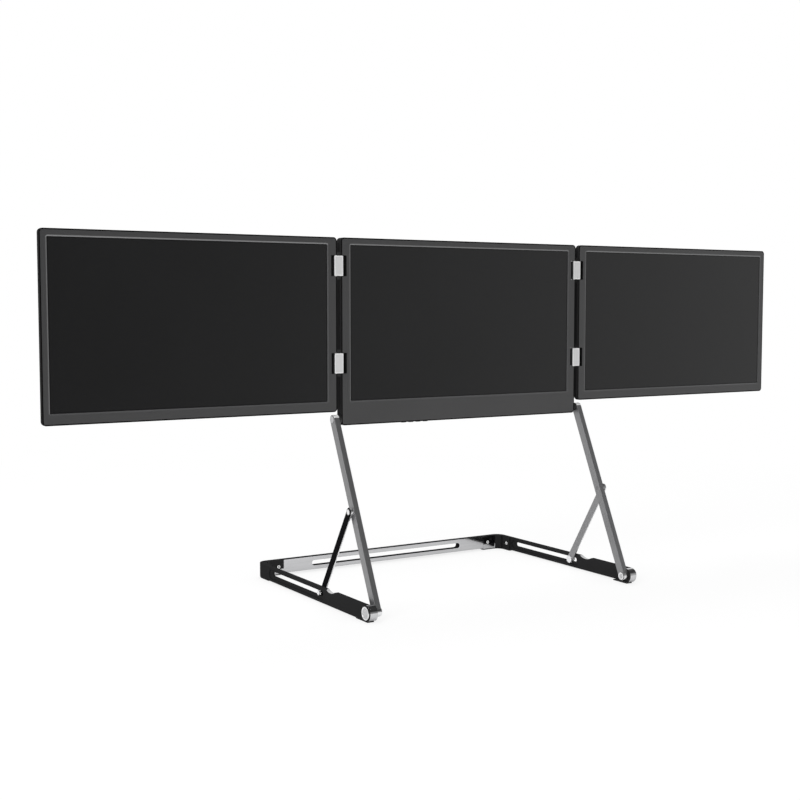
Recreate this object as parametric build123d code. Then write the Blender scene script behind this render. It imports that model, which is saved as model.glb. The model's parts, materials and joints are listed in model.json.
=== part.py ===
from build123d import *
import os
from collections import namedtuple
from math import cos, hypot, radians, sin, sqrt

# Laptop screen extender: three displays in one plane, on two legs that fold down into a U-shaped base.
# Millimetres. X runs left to right, Y front to back, +Z up.
# The origin is on the floor, under the middle of the base.
# Right-hand pieces are modelled, and left-hand ones are their mirror images in the YZ plane.

# ---- Clearances
seat_gap = 0.05  # between pieces that are fixed to one another
running_gap = 0.05  # round a pin that turns in its bore
side_gap = 0.3  # between flat faces that pass one another

# ---- Displays
opening_width = 344.2
opening_height = 193.6
top_border = 8.85
wing_outer_border = 8.8
wing_hinge_border = 13.4
wing_bottom_border = 13.1
centre_side_border = 13.4
chin_height = 30.4
panel_gap = 6.0
centre_thickness = 12.4
wing_thickness = 9.2
panel_corner_radius = 4.6
rim_width = 1.4
lip_width = 0.7  # of the rim, in front, beside the bezel
rim_round = 0.5
back_wall = 1.4
centre_back_round = 1.0
wing_back_round = 3.0
bezel_thickness = 1.0
bezel_bevel_width = 1.5
bezel_bevel_depth = 0.8
display_overlap = 2.2
display_thickness = 1.6
backlight_thickness = 2.6
display_corner_radius = 1.0

# ---- Shell screws and the bosses on the bezels that they hold on to
boss_radius = 2.0
boss_inset = 4.3
boss_from_top = 12.0
wing_boss_from_bottom = 12.0
chin_boss_height = 22.0
shell_screw_radius = 0.9
shell_screw_length = 5.0
shell_screw_head_radius = 1.9
shell_screw_head_height = 0.8

# ---- Screen hinges: two upright axes in one link block
upper_link_drop = 34.85
lower_link_drop = 155.25
link_width = 12.2
link_height = 24.8
link_depth = 6.9
link_bevel = 0.5
hinge_axis_depth = 3.7
hinge_axis_inset = 1.5
hinge_pin_radius = 1.0
hinge_pin_bite = 3.6
notch_side_gap = 4.8
notch_end_gap = 0.4
ear_height = 4.0
bracket_web = 1.4

# ---- Base
base_depth = 313.4
base_top = 20.8
foot_height = 1.3
arm_thickness = 5.2
beam_thickness = 10.0
beam_height = 18.4
beam_slot_length = 252.0
beam_slot_height = 7.6
corner_outer_radius = 14.0
corner_inner_radius = 10.5
corner_swell = 2.1
corner_width = 37.0
corner_depth = 36.0
beam_tongue_thickness = 4.0
beam_tongue_length = 12.0
arm_tongue_thickness = 2.2
arm_tongue_length = 10.4
tongue_height = 10.0
corner_screw_radius = 1.1
corner_screw_head_radius = 2.4
corner_screw_head_height = 0.7
corner_screw_edge = 4.0
scoop_length = 24.0
scoop_depth = 3.0
scoop_from_pivot = 90.0
foot_inset = 0.6
front_foot_front = 1.5
front_foot_back = 26.0
front_foot_wrap = 0.6

# ---- Legs and their pivots on the arms
pivot_height = 11.2
leg_length = 244.3
leg_lean = 24.71
leg_thickness = 7.36
leg_width = 11.4
leg_pin_radius = 3.0
leg_cap_radius = 8.1
leg_cap_height = 2.0
leg_cap_bevel = 0.6
pin_ring_radius = 5.0
pin_ring_height = 0.9

# ---- Braces, and the slots in the arms that their feet run in
brace_pivot_distance = 124.6
brace_length = 132.0
brace_width = 10.9
brace_bar_thickness = 1.1
brace_cover_thickness = 0.6
brace_leg_gap = 2.8
brace_arm_gap = 0.8
brace_washer_height = 2.5
brace_washer_radius = 4.6
brace_pin_radius = 2.0
brace_pin_head_radius = 4.0
brace_pin_head_height = 1.0
foot_pin_radius = 1.45
foot_cap_radius = 5.2
foot_cap_height = 1.2
foot_head_radius = 3.3
foot_head_height = 0.8
slot_line_height = 12.4
arm_slot_height = 6.1
slot_front_play = 8.0
slot_to_corner = 16.0
pocket_height = 12.5
pocket_depth = 1.3
pocket_front_margin = 4.0
pocket_back_margin = 6.5

# ---- Screen tilt
tilt_gap = 4.0
tilt_axis_depth = 4.0
tilt_axis_height = 7.8
tilt_pin_radius = 2.0
tilt_pin_recess = 0.4
tilt_washer_radius = 5.3
tilt_bracket_width = 8.0
tilt_bracket_depth = 6.4
tilt_bracket_height = 11.6

# ---- Buttons under the chin
button_pitch = 11.1
button_first = -91.3
button_width = 7.0
button_depth = 2.8
button_proud = 1.0
button_stem = 1.6
button_flange_edge = 0.7
button_flange_height = 0.8
button_clearance = 0.3
button_travel = 0.5
switch_size = 3.2
switch_height = 1.5
button_board_thickness = 1.0
button_board_margin = 7.0

# ---- Electronics
board_thickness = 1.2
chip_height = 1.0
chip_size = 14.0
controller_to_speaker = 3.0
controller_width = 90.0
controller_height = 78.0
controller_from_bottom = 4.0
wing_board_width = 120.0
wing_board_height = 40.0
wing_board_from_bottom = 24.0
speaker_width = 45.0
speaker_height = 17.0
speaker_from_bottom = 5.0
speaker_to_bracket = 13.05
socket_first = 27.0
socket_pitch = 22.0
socket_widths = (9.0, 9.0, 11.2)
socket_height = 3.2
socket_depth = 7.0
socket_wall = 0.35
socket_tongue = 0.7

# ---- Positions worked out from the sizes above
centre_width = opening_width + 2 * centre_side_border
wing_width = opening_width + wing_hinge_border + wing_outer_border
centre_right = centre_width / 2
wing_left = centre_right + panel_gap
leg_inner = centre_right + tilt_gap
leg_outer = leg_inner + leg_thickness
brace_inner = leg_outer + brace_leg_gap
cover_inner = brace_inner + brace_bar_thickness
cover_outer = cover_inner + brace_cover_thickness
arm_inner = cover_outer + brace_arm_gap
arm_outer = arm_inner + arm_thickness
barrel_inner = leg_outer + side_gap

arm_radius = (base_top - foot_height) / 2
arm_middle = (base_top + foot_height) / 2
beam_back = base_depth / 2
beam_front = beam_back - beam_thickness
beam_bottom = base_top - beam_height
beam_middle = (base_top + beam_bottom) / 2
corner_x = arm_outer - corner_width
corner_y = beam_back - corner_depth

pivot = (arm_radius - base_depth / 2, pivot_height)


def along_leg(distance):
    """The (y, z) point on the leg's centreline at a distance from its pivot."""
    lean = radians(leg_lean)
    return (pivot[0] + distance * sin(lean), pivot[1] + distance * cos(lean))


tilt_axis = along_leg(leg_length)
brace_pivot = along_leg(brace_pivot_distance)
brace_rise = brace_pivot[1] - slot_line_height
brace_foot = (brace_pivot[0] + sqrt(brace_length ** 2 - brace_rise ** 2), slot_line_height)
slot_front = brace_foot[0] - slot_front_play
slot_back = corner_y - slot_to_corner

screen_front = tilt_axis[0] - tilt_axis_depth
centre_bottom = tilt_axis[1] - tilt_axis_height
centre_top = centre_bottom + chin_height + opening_height + top_border
wing_bottom = centre_top - top_border - opening_height - wing_bottom_border

display_front = bezel_thickness + seat_gap
backlight_front = display_front + display_thickness + seat_gap
backlight_back = backlight_front + backlight_thickness
centre_cavity = centre_thickness - back_wall
hinge_middle = centre_right + panel_gap / 2
link_heights = (centre_top - upper_link_drop, centre_top - lower_link_drop)
notch_reach = link_width / 2 + notch_side_gap - panel_gap / 2
notch_half = link_height / 2 + notch_end_gap
bracket_half = notch_half + ear_height
button_middle = centre_thickness / 2
tilt_bracket_outer = centre_right - rim_width - seat_gap
tilt_bracket_inner = tilt_bracket_outer - tilt_bracket_width
speaker_outer = tilt_bracket_inner - speaker_to_bracket
speaker_inner = speaker_outer - speaker_width
controller_right = speaker_inner - controller_to_speaker
controller_left = controller_right - controller_width

Panel = namedtuple("Panel", "x z thickness back_round opening_x opening_z hinge_edges boss_z")

centre_panel = Panel(
    x=(-centre_right, centre_right),
    z=(centre_bottom, centre_top),
    thickness=centre_thickness,
    back_round=centre_back_round,
    opening_x=(-opening_width / 2, opening_width / 2),
    opening_z=(centre_bottom + chin_height, centre_top - top_border),
    hinge_edges=((-centre_right, 1), (centre_right, -1)),
    boss_z=(centre_bottom + chin_boss_height, centre_top - boss_from_top),
)
wing_panel = Panel(
    x=(wing_left, wing_left + wing_width),
    z=(wing_bottom, centre_top),
    thickness=wing_thickness,
    back_round=wing_back_round,
    opening_x=(wing_left + wing_hinge_border, wing_left + wing_hinge_border + opening_width),
    opening_z=(wing_bottom + wing_bottom_border, centre_top - top_border),
    hinge_edges=((wing_left, 1),),
    boss_z=(wing_bottom + wing_boss_from_bottom, centre_top - boss_from_top),
)


# ---- Shapes that several sub-parts use
def grown(span, margin):
    """A (low, high) span made longer by a margin at each end."""
    return (span[0] - margin, span[1] + margin)


def around(middle, size):
    """The (low, high) span of a size about its middle."""
    return (middle - size / 2, middle + size / 2)


def behind(near, far):
    """The Y span between two depths behind the front of the screens."""
    return (screen_front + near, screen_front + far)


def block(x, y, z):
    """A box between the low and high value given for each axis."""
    spans = (x, y, z)
    middle = [(low + high) / 2 for low, high in spans]
    size = [high - low for low, high in spans]
    return Pos(*middle) * Box(*size)


def rod(direction, start, length, radius):
    """A round rod that starts at a point and runs along a direction."""
    return extrude(Plane(origin=start, z_dir=direction) * Circle(radius), amount=length)


def rod_x(x, y, z, radius):
    return rod((1, 0, 0), (x[0], y, z), x[1] - x[0], radius)


def rod_y(x, y, z, radius):
    return rod((0, 1, 0), (x, y[0], z), y[1] - y[0], radius)


def rod_z(x, y, z, radius):
    return rod((0, 0, 1), (x, y, z[0]), z[1] - z[0], radius)


def bar_x(x, start, end, radius):
    """A flat bar with round ends between two (y, z) points, as thick as the X span."""
    run = (end[0] - start[0], end[1] - start[1])
    middle = ((start[0] + end[0]) / 2, (start[1] + end[1]) / 2)
    plane = Plane(origin=(x[0], *middle), x_dir=(0, *run), z_dir=(1, 0, 0))
    return extrude(plane * SlotCenterToCenter(hypot(*run), 2 * radius), amount=x[1] - x[0])


def outline(x, z, y, radius):
    """A flat rounded rectangle parallel to the screens, at one Y value."""
    middle = ((x[0] + x[1]) / 2, y, (z[0] + z[1]) / 2)
    plane = Plane(origin=middle, x_dir=(1, 0, 0), z_dir=(0, 1, 0))
    return plane * RectangleRounded(x[1] - x[0], z[1] - z[0], radius)


def plate(x, z, y, radius):
    """A rounded rectangle parallel to the screens, as thick as the Y span."""
    return extrude(outline(x, z, y[0], radius), amount=y[1] - y[0])


def mirrored(shape):
    return mirror(shape, about=Plane.YZ)


def pair(shape):
    """A right-hand solid and its left-hand mirror image."""
    return Compound([*mirrored(shape).solids(), *shape.solids()])


def group(shapes):
    """Separate solids that share one node."""
    return Compound([solid for shape in shapes for solid in shape.solids()])


# ---- Base
def arm_outline(margin=0.0):
    """The arm before its cuts: a bar with a round front end that is wider than the bar."""
    bar_y = (pivot[0], corner_y)
    bar = block((arm_inner, arm_outer), bar_y, grown((foot_height, base_top), margin))
    barrel = rod_x((barrel_inner, arm_outer), pivot[0], arm_middle, arm_radius + margin)
    return bar + barrel


def arm_tongue(margin=0.0):
    """The thin end of the arm that goes into the corner piece."""
    middle_x = (arm_inner + arm_outer) / 2
    return block(
        around(middle_x, arm_tongue_thickness + 2 * margin),
        (corner_y, corner_y + arm_tongue_length + margin),
        around(arm_middle, tongue_height + 2 * margin),
    )


def beam_tongue(margin=0.0):
    """The thin right end of the beam that goes into the corner piece."""
    middle_y = (beam_front + beam_back) / 2
    return block(
        (corner_x, corner_x + beam_tongue_length + margin),
        around(middle_y, beam_tongue_thickness + 2 * margin),
        around(beam_middle, tongue_height + 2 * margin),
    )


def arm_screw(radius, start, end):
    """A rod along the screw in the arm's tongue, between two depths from the arm's inner face."""
    screw_y = corner_y + arm_tongue_length - corner_screw_edge
    return rod_x((arm_inner + start, arm_inner + end), screw_y, arm_middle, radius)


def beam_screw(radius, start, end):
    """A rod along the screw in the beam's tongue, between two depths from the beam's inner face."""
    screw_x = corner_x + beam_tongue_length - corner_screw_edge
    return rod_y(screw_x, (beam_front + start, beam_front + end), beam_middle, radius)


arm_screw_end = (arm_thickness + arm_tongue_thickness) / 2
beam_screw_end = (beam_thickness + beam_tongue_thickness) / 2


def make_arm():
    arm = arm_outline()
    arm += arm_tongue()
    pocket_span = (slot_front - pocket_front_margin, slot_back + pocket_back_margin)
    pocket_ends = [(y, arm_middle) for y in pocket_span]
    arm -= bar_x((arm_inner, arm_inner + pocket_depth), *pocket_ends, pocket_height / 2)
    arm -= bar_x((arm_outer - pocket_depth, arm_outer), *pocket_ends, pocket_height / 2)
    slot_ends = [(y, slot_line_height) for y in (slot_front, slot_back)]
    arm -= bar_x((arm_inner, arm_outer), *slot_ends, arm_slot_height / 2)
    scoop_radius = (scoop_length ** 2 / 4 + scoop_depth ** 2) / (2 * scoop_depth)
    scoop_y = pivot[0] + scoop_from_pivot
    arm -= rod_x((barrel_inner, arm_outer), scoop_y, base_top + scoop_radius - scoop_depth, scoop_radius)
    arm -= rod_x((barrel_inner, arm_outer), *pivot, leg_pin_radius + seat_gap)
    arm -= arm_screw(corner_screw_radius + seat_gap, 0, arm_thickness)
    return arm


def make_beam():
    beam = block((-corner_x, corner_x), (beam_front, beam_back), (beam_bottom, base_top))
    plane = Plane(origin=(0, beam_front, beam_middle), x_dir=(1, 0, 0), z_dir=(0, 1, 0))
    slot = plane * SlotOverall(beam_slot_length, beam_slot_height)
    beam -= extrude(slot, amount=beam_thickness)
    tongue = beam_tongue() - beam_screw(corner_screw_radius + seat_gap, 0, beam_thickness)
    return beam + tongue + mirrored(tongue)


def corner_plan(inset=0.0):
    """The corner piece seen from above: a bend from the arm to the beam, a little thicker than the arm."""
    diagonal = Axis((0, 0, 0), (1, 1, 0))
    outer_x = (corner_x, arm_outer - inset)
    outer_y = (corner_y, beam_back - inset)
    inner_x = (corner_x, arm_inner - corner_swell + inset)
    inner_y = (corner_y, beam_front + inset)
    outer = Rectangle(outer_x[1] - outer_x[0], outer_y[1] - outer_y[0], align=Align.MIN)
    outer = fillet(outer.vertices().sort_by(diagonal)[-1], corner_outer_radius - inset)
    inner = Rectangle(inner_x[1] - inner_x[0], inner_y[1] - inner_y[0], align=Align.MIN)
    inner = fillet(inner.vertices().sort_by(diagonal)[-1], corner_inner_radius + inset)
    return Pos(corner_x, corner_y) * (outer - inner)


def make_corner():
    corner = extrude(Pos(0, 0, foot_height) * corner_plan(), amount=base_top - foot_height)
    corner -= arm_tongue(seat_gap)
    corner -= beam_tongue(seat_gap)
    corner -= arm_screw(corner_screw_radius + seat_gap, -corner_swell, arm_screw_end)
    corner -= beam_screw(corner_screw_radius + seat_gap, 0, beam_screw_end)
    return corner


def make_corner_screws():
    screws = []
    for screw_rod, seat, end in (
        (arm_screw, -corner_swell, arm_screw_end),
        (beam_screw, 0, beam_screw_end),
    ):
        head = screw_rod(corner_screw_head_radius, seat - corner_screw_head_height, seat)
        screws.append(head + screw_rod(corner_screw_radius, seat, end))
    return pair(group(screws))


def make_base_feet():
    """Rubber pads: one wrapped round the bottom of each arm's front end, one under each corner."""
    front = block(
        grown((barrel_inner, arm_outer), -foot_inset),
        (pivot[0] - front_foot_front, pivot[0] + front_foot_back),
        (0, foot_height + front_foot_wrap),
    )
    front -= arm_outline(seat_gap)
    front -= block(
        (barrel_inner, arm_inner),
        (pivot[0] + arm_radius / 2, pivot[0] + front_foot_back),
        (foot_height, foot_height + front_foot_wrap),
    )
    rear = extrude(corner_plan(foot_inset), amount=foot_height)
    return pair(group([front, rear]))


# ---- Leg pivots and legs
def make_leg_pins():
    """The pins that the legs turn on, each with a round cap on the arm's outer face."""
    pin = rod_x((leg_inner - side_gap - pin_ring_height, arm_outer), *pivot, leg_pin_radius)
    cap = rod_x((arm_outer, arm_outer + leg_cap_height), *pivot, leg_cap_radius)
    cap = chamfer(cap.edges().sort_by(Axis.X)[-1], leg_cap_bevel)
    return pair(pin + cap)


def make_leg_pin_caps():
    """Rings that hold the inner ends of the leg pins."""
    span = (leg_inner - side_gap - pin_ring_height, leg_inner - side_gap)
    ring = rod_x(span, *pivot, pin_ring_radius)
    return pair(ring - rod_x(span, *pivot, leg_pin_radius + seat_gap))


def make_leg():
    span = (leg_inner, leg_outer)
    leg = bar_x(span, pivot, tilt_axis, leg_width / 2)
    leg -= rod_x(span, *pivot, leg_pin_radius + running_gap)
    leg -= rod_x(span, *tilt_axis, tilt_pin_radius + running_gap)
    leg -= rod_x(span, *brace_pivot, brace_pin_radius + seat_gap)
    return leg


def make_brace_pins():
    head_start = cover_outer + side_gap
    pin = rod_x((leg_inner, head_start), *brace_pivot, brace_pin_radius)
    head_span = (head_start, head_start + brace_pin_head_height)
    return pair(pin + rod_x(head_span, *brace_pivot, brace_pin_head_radius))


def make_brace_washers():
    span = (leg_outer, leg_outer + brace_washer_height)
    washer = rod_x(span, *brace_pivot, brace_washer_radius)
    return pair(washer - rod_x(span, *brace_pivot, brace_pin_radius + seat_gap))


# ---- Braces
def brace_layer(span):
    """One flat layer of the brace, with holes for the pin on the leg and the pin at the foot."""
    layer = bar_x(span, brace_pivot, brace_foot, brace_width / 2)
    layer -= rod_x(span, *brace_pivot, brace_pin_radius + running_gap)
    layer -= rod_x(span, *brace_foot, foot_pin_radius + seat_gap)
    return layer


def make_brace_foot():
    """The pin that runs in the arm's slot, with a cap inside the brace and a head in the outer pocket."""
    head_start = arm_outer - pocket_depth + side_gap
    foot = rod_x((brace_inner - foot_cap_height, brace_inner), *brace_foot, foot_cap_radius)
    foot += rod_x((brace_inner, head_start), *brace_foot, foot_pin_radius)
    foot += rod_x((head_start, head_start + foot_head_height), *brace_foot, foot_head_radius)
    return foot


# ---- Panels
def cavity(panel):
    """The depth of the room inside a panel's shell."""
    return panel.thickness - back_wall


def inner_plate(panel, margin, near, far):
    """A plate of a panel's outline, smaller by a margin all round."""
    x = grown(panel.x, -margin)
    z = grown(panel.z, -margin)
    return plate(x, z, behind(near, far), panel_corner_radius - margin)


def hinge_notch(edge, height, near, far):
    """The pocket in a panel's edge that a link block turns in. edge is (x, direction into the panel)."""
    x, inward = edge
    span = sorted((x, x + inward * notch_reach))
    return block(span, behind(near, far), around(height, 2 * notch_half))


def bracket_block(panel, edge, height, margin=0.0):
    """The outside of a hinge bracket, flush with the panel's edge."""
    x, inward = edge
    span = sorted((x, x + inward * (notch_reach + bracket_web + margin)))
    depths = behind(bezel_thickness + seat_gap - margin, cavity(panel) - seat_gap + margin)
    return block(span, depths, around(height, 2 * (bracket_half + margin)))


def shell_screws(panel, radius, near, far):
    """Rods on the axes of the four screws that close a panel, between two depths."""
    screw_x = grown(panel.x, -boss_inset)
    return [rod_y(x, behind(near, far), z, radius) for x in screw_x for z in panel.boss_z]


def make_housing(panel):
    """The rear shell, with a stepped rim that the bezel lies in and openings for the hinge brackets."""
    shell = plate(panel.x, panel.z, behind(0, panel.thickness), panel_corner_radius)
    shell = fillet(shell.faces().sort_by(Axis.Y)[-1].edges(), panel.back_round)
    shell = fillet(shell.faces().sort_by(Axis.Y)[0].edges(), rim_round)
    shell -= inner_plate(panel, rim_width, 0, cavity(panel))
    shell -= inner_plate(panel, lip_width, 0, bezel_thickness + seat_gap)
    for edge in panel.hinge_edges:
        for height in link_heights:
            shell -= bracket_block(panel, edge, height, seat_gap)
            shell -= hinge_notch(edge, height, 0, cavity(panel))
    head_seat = panel.thickness - shell_screw_head_height
    for hole in shell_screws(panel, shell_screw_radius + seat_gap, cavity(panel), panel.thickness):
        shell -= hole
    for seat in shell_screws(panel, shell_screw_head_radius + seat_gap, head_seat, panel.thickness):
        shell -= seat
    return shell


def bevelled_opening(panel):
    """The cut in front of the display, wider at the front than at the glass."""
    wide_x = grown(panel.opening_x, bezel_bevel_width)
    wide_z = grown(panel.opening_z, bezel_bevel_width)
    wide = outline(wide_x, wide_z, screen_front, display_corner_radius + bezel_bevel_width)
    bevel_end = screen_front + bezel_bevel_depth
    narrow = outline(panel.opening_x, panel.opening_z, bevel_end, display_corner_radius)
    straight = plate(panel.opening_x, panel.opening_z, behind(0, bezel_thickness), display_corner_radius)
    return loft([wide, narrow]) + straight


def make_bezel(panel):
    """The front frame: bevelled opening, hinge notches and four screw bosses behind."""
    frame = inner_plate(panel, lip_width + seat_gap, 0, bezel_thickness)
    frame -= bevelled_opening(panel)
    for edge in panel.hinge_edges:
        for height in link_heights:
            frame -= hinge_notch(edge, height, 0, bezel_thickness)
    for boss in shell_screws(panel, boss_radius, bezel_thickness, cavity(panel) - seat_gap):
        frame += boss
    bore_start = panel.thickness - shell_screw_length - seat_gap
    for bore in shell_screws(panel, shell_screw_radius + seat_gap, bore_start, cavity(panel)):
        frame -= bore
    return frame


def make_shell_screws(panel):
    """Four screws with flat heads sunk into the back of the shell."""
    head_seat = panel.thickness - shell_screw_head_height
    shanks = shell_screws(panel, shell_screw_radius, panel.thickness - shell_screw_length, head_seat)
    heads = shell_screws(panel, shell_screw_head_radius, head_seat, panel.thickness)
    return group([shank + head for shank, head in zip(shanks, heads)])


def display_layer(panel, near, thickness):
    """A flat layer behind the opening, as wide as the opening and its overlap."""
    x = grown(panel.opening_x, display_overlap)
    z = grown(panel.opening_z, display_overlap)
    return plate(x, z, behind(near, near + thickness), display_corner_radius)


def make_display(panel):
    return display_layer(panel, display_front, display_thickness)


def make_backlight(panel):
    return display_layer(panel, backlight_front, backlight_thickness)


def make_hinge_bracket(panel, edge, height):
    """A C-shaped steel piece round the notch, with an ear above and below for the hinge pin."""
    bracket = bracket_block(panel, edge, height)
    bracket -= hinge_notch(edge, height, 0, cavity(panel))
    x, inward = edge
    axis_y = screen_front + hinge_axis_depth
    span = around(height, 2 * bracket_half)
    bracket -= rod_z(x + inward * hinge_axis_inset, axis_y, span, hinge_pin_radius + running_gap)
    return bracket


def make_hinge_brackets(panel):
    edges = panel.hinge_edges
    return group([make_hinge_bracket(panel, edge, height) for edge in edges for height in link_heights])


# ---- Screen hinges
def hinge_pin(x, height, margin=0.0):
    """A hinge pin's rod through a link block and into the ears above and below it."""
    half = notch_half + hinge_pin_bite
    axis_y = screen_front + hinge_axis_depth
    return rod_z(x, axis_y, around(height, 2 * half), hinge_pin_radius + margin)


hinge_axes = (centre_right - hinge_axis_inset, wing_left + hinge_axis_inset)


def make_link(height):
    """A link block, flush with the bezels, with both of its hinge pins' bores."""
    link = block(around(hinge_middle, link_width), behind(0, link_depth), around(height, link_height))
    link = chamfer(link.edges(), link_bevel)
    for x in hinge_axes:
        link -= hinge_pin(x, height, seat_gap)
    return link


def make_hinge_pins():
    return group([hinge_pin(x, height) for x in hinge_axes for height in link_heights])


# ---- Screen tilt
def make_tilt_bracket():
    """The block inside the chin that holds a tilt pin."""
    near = bezel_thickness + side_gap
    span = (tilt_bracket_inner, tilt_bracket_outer)
    bracket = block(
        span,
        behind(near, near + tilt_bracket_depth),
        around(tilt_axis[1], tilt_bracket_height),
    )
    bracket &= inner_plate(centre_panel, rim_width + seat_gap, 0, centre_cavity)
    return bracket - rod_x(span, *tilt_axis, tilt_pin_radius + seat_gap)


def make_tilt_pin():
    return rod_x((tilt_bracket_inner, leg_outer - tilt_pin_recess), *tilt_axis, tilt_pin_radius)


def make_tilt_washer():
    span = (centre_right, leg_inner - side_gap)
    washer = rod_x(span, *tilt_axis, tilt_washer_radius)
    return washer - rod_x(span, *tilt_axis, tilt_pin_radius + seat_gap)


# ---- Buttons and their board
button_places = [button_first + button_pitch * index for index in range(4)]
button_top = rim_width + button_clearance + button_flange_height + button_stem
switch_bottom = button_top + button_travel + button_clearance / 2


def upright_slot(x, width, depth, z):
    """A prism with round ends, standing on the chin's middle plane, between two heights above its bottom."""
    plane = Plane(origin=(x, screen_front + button_middle, centre_bottom + z[0]))
    return extrude(plane * SlotOverall(width, depth), amount=z[1] - z[0])


def make_button(x):
    flange_z = (rim_width + button_clearance, rim_width + button_clearance + button_flange_height)
    button = upright_slot(x, button_width, button_depth, (-button_proud, flange_z[1]))
    flange_width = button_width + 2 * (button_clearance + button_flange_edge)
    flange_depth = button_depth + 2 * (button_clearance + button_flange_edge)
    button += upright_slot(x, flange_width, flange_depth, flange_z)
    stem = Pos(x, screen_front + button_middle, centre_bottom + flange_z[1])
    stem_box = Box(switch_size, switch_size / 2, button_stem, align=(Align.CENTER, Align.CENTER, Align.MIN))
    return button + stem * stem_box


def make_button_board():
    """A small board above the buttons, with one switch hanging over each of them."""
    bottom = centre_bottom + switch_bottom + switch_height
    margin = button_board_margin
    near = bezel_thickness + side_gap
    board = block(
        (button_places[0] - margin, button_places[-1] + margin),
        behind(near, centre_cavity - side_gap),
        (bottom, bottom + button_board_thickness),
    )
    middle = screen_front + button_middle
    for x in button_places:
        board += block(
            around(x, switch_size),
            around(middle, switch_size),
            (centre_bottom + switch_bottom, bottom),
        )
    return board


# ---- Electronics
def make_board(x, z, near, chips):
    """A circuit board with a row of square chips on its front or back side."""
    board = block(x, behind(near, near + board_thickness), z)
    pitch = (x[1] - x[0]) / chips
    middle_z = (z[0] + z[1]) / 2
    for index in range(chips):
        chip_x = x[0] + pitch * (index + 0.5)
        chip_y = behind(near + board_thickness, near + board_thickness + chip_height)
        board += block(around(chip_x, chip_size), chip_y, around(middle_z, chip_size))
    return board


socket_places = [
    (controller_left + socket_first + socket_pitch * index, width)
    for index, width in enumerate(socket_widths)
]
controller_front = centre_thickness / 2 + socket_height / 2 + seat_gap


def make_controller_board():
    bottom = centre_bottom + controller_from_bottom
    x = (controller_left, controller_right)
    return make_board(x, (bottom, bottom + controller_height), controller_front, chips=3)


def make_port_sockets():
    """Sockets that open downwards under the chin, each a thin shell round a tongue."""
    sockets = []
    for x, width in socket_places:
        socket = upright_slot(x, width, socket_height, (0, socket_depth))
        mouth_width = width - 2 * socket_wall
        mouth_height = socket_height - 2 * socket_wall
        socket -= upright_slot(x, mouth_width, mouth_height, (0, socket_depth - socket_wall))
        tongue_width = width - 2 * socket_height
        tongue = upright_slot(x, tongue_width, socket_tongue, (socket_wall, socket_depth))
        sockets.append(socket + tongue)
    return group(sockets)


def make_speakers():
    near = bezel_thickness + side_gap
    box = block(
        (speaker_inner, speaker_outer),
        behind(near, centre_cavity - side_gap),
        (centre_bottom + speaker_from_bottom, centre_bottom + speaker_from_bottom + speaker_height),
    )
    return pair(box)


def make_wing_board():
    middle_x = (wing_panel.x[0] + wing_panel.x[1]) / 2
    bottom = wing_bottom + wing_board_from_bottom
    x = around(middle_x, wing_board_width)
    return make_board(x, (bottom, bottom + wing_board_height), backlight_back + seat_gap, chips=4)


def make_centre_housing():
    """The centre shell, with slots for the buttons and sockets below, and holes for the tilt pins."""
    shell = make_housing(centre_panel)
    wall = (0, rim_width)
    for x in button_places:
        width = button_width + 2 * button_clearance
        shell -= upright_slot(x, width, button_depth + 2 * button_clearance, wall)
    for x, width in socket_places:
        shell -= upright_slot(x, width + 2 * seat_gap, socket_height + 2 * seat_gap, wall)
    hole = rod_x((centre_right - rim_width, centre_right), *tilt_axis, tilt_pin_radius + seat_gap)
    return shell - hole - mirrored(hole)


# ---- All the sub-parts, by node name
def sub_parts():
    nodes = {
        "rear_beam": make_beam(),
        "corner_screws": make_corner_screws(),
        "base_feet": make_base_feet(),
        "leg_pins": make_leg_pins(),
        "leg_pin_caps": make_leg_pin_caps(),
        "brace_pins": make_brace_pins(),
        "brace_washers": make_brace_washers(),
        "centre_rear_housing": make_centre_housing(),
        "centre_bezel": make_bezel(centre_panel),
        "centre_display": make_display(centre_panel),
        "centre_backlight": make_backlight(centre_panel),
        "centre_hinge_brackets": make_hinge_brackets(centre_panel),
        "centre_screws": make_shell_screws(centre_panel),
        "controller_board": make_controller_board(),
        "speakers": make_speakers(),
        "button_board": make_button_board(),
        "port_sockets": make_port_sockets(),
        "tilt_brackets": pair(make_tilt_bracket()),
        "tilt_pins": pair(make_tilt_pin()),
        "tilt_washers": pair(make_tilt_washer()),
    }
    button_names = ("power_button", "menu_button", "minus_button", "plus_button")
    for name, x in zip(button_names, button_places):
        nodes[name] = make_button(x)
    sided = {
        "arm": make_arm(),
        "corner": make_corner(),
        "leg_bar": make_leg(),
        "brace_bar": brace_layer((brace_inner, cover_inner)),
        "brace_cover": brace_layer((cover_inner, cover_outer)),
        "brace_foot": make_brace_foot(),
        "upper_link": make_link(link_heights[0]),
        "lower_link": make_link(link_heights[1]),
        "hinge_pins": make_hinge_pins(),
        "wing_housing": make_housing(wing_panel),
        "wing_bezel": make_bezel(wing_panel),
        "wing_display": make_display(wing_panel),
        "wing_backlight": make_backlight(wing_panel),
        "wing_board": make_wing_board(),
        "wing_brackets": make_hinge_brackets(wing_panel),
        "wing_screws": make_shell_screws(wing_panel),
    }
    for name, shape in sided.items():
        nodes["right_" + name] = shape
        nodes["left_" + name] = mirrored(shape)
    return nodes


os.makedirs("parts", exist_ok=True)
for node, shape in sub_parts().items():
    export_step(shape, f"parts/{node}.step")
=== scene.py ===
import json
from math import pi, radians

import bpy
from mathutils import Matrix, Vector


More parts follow.
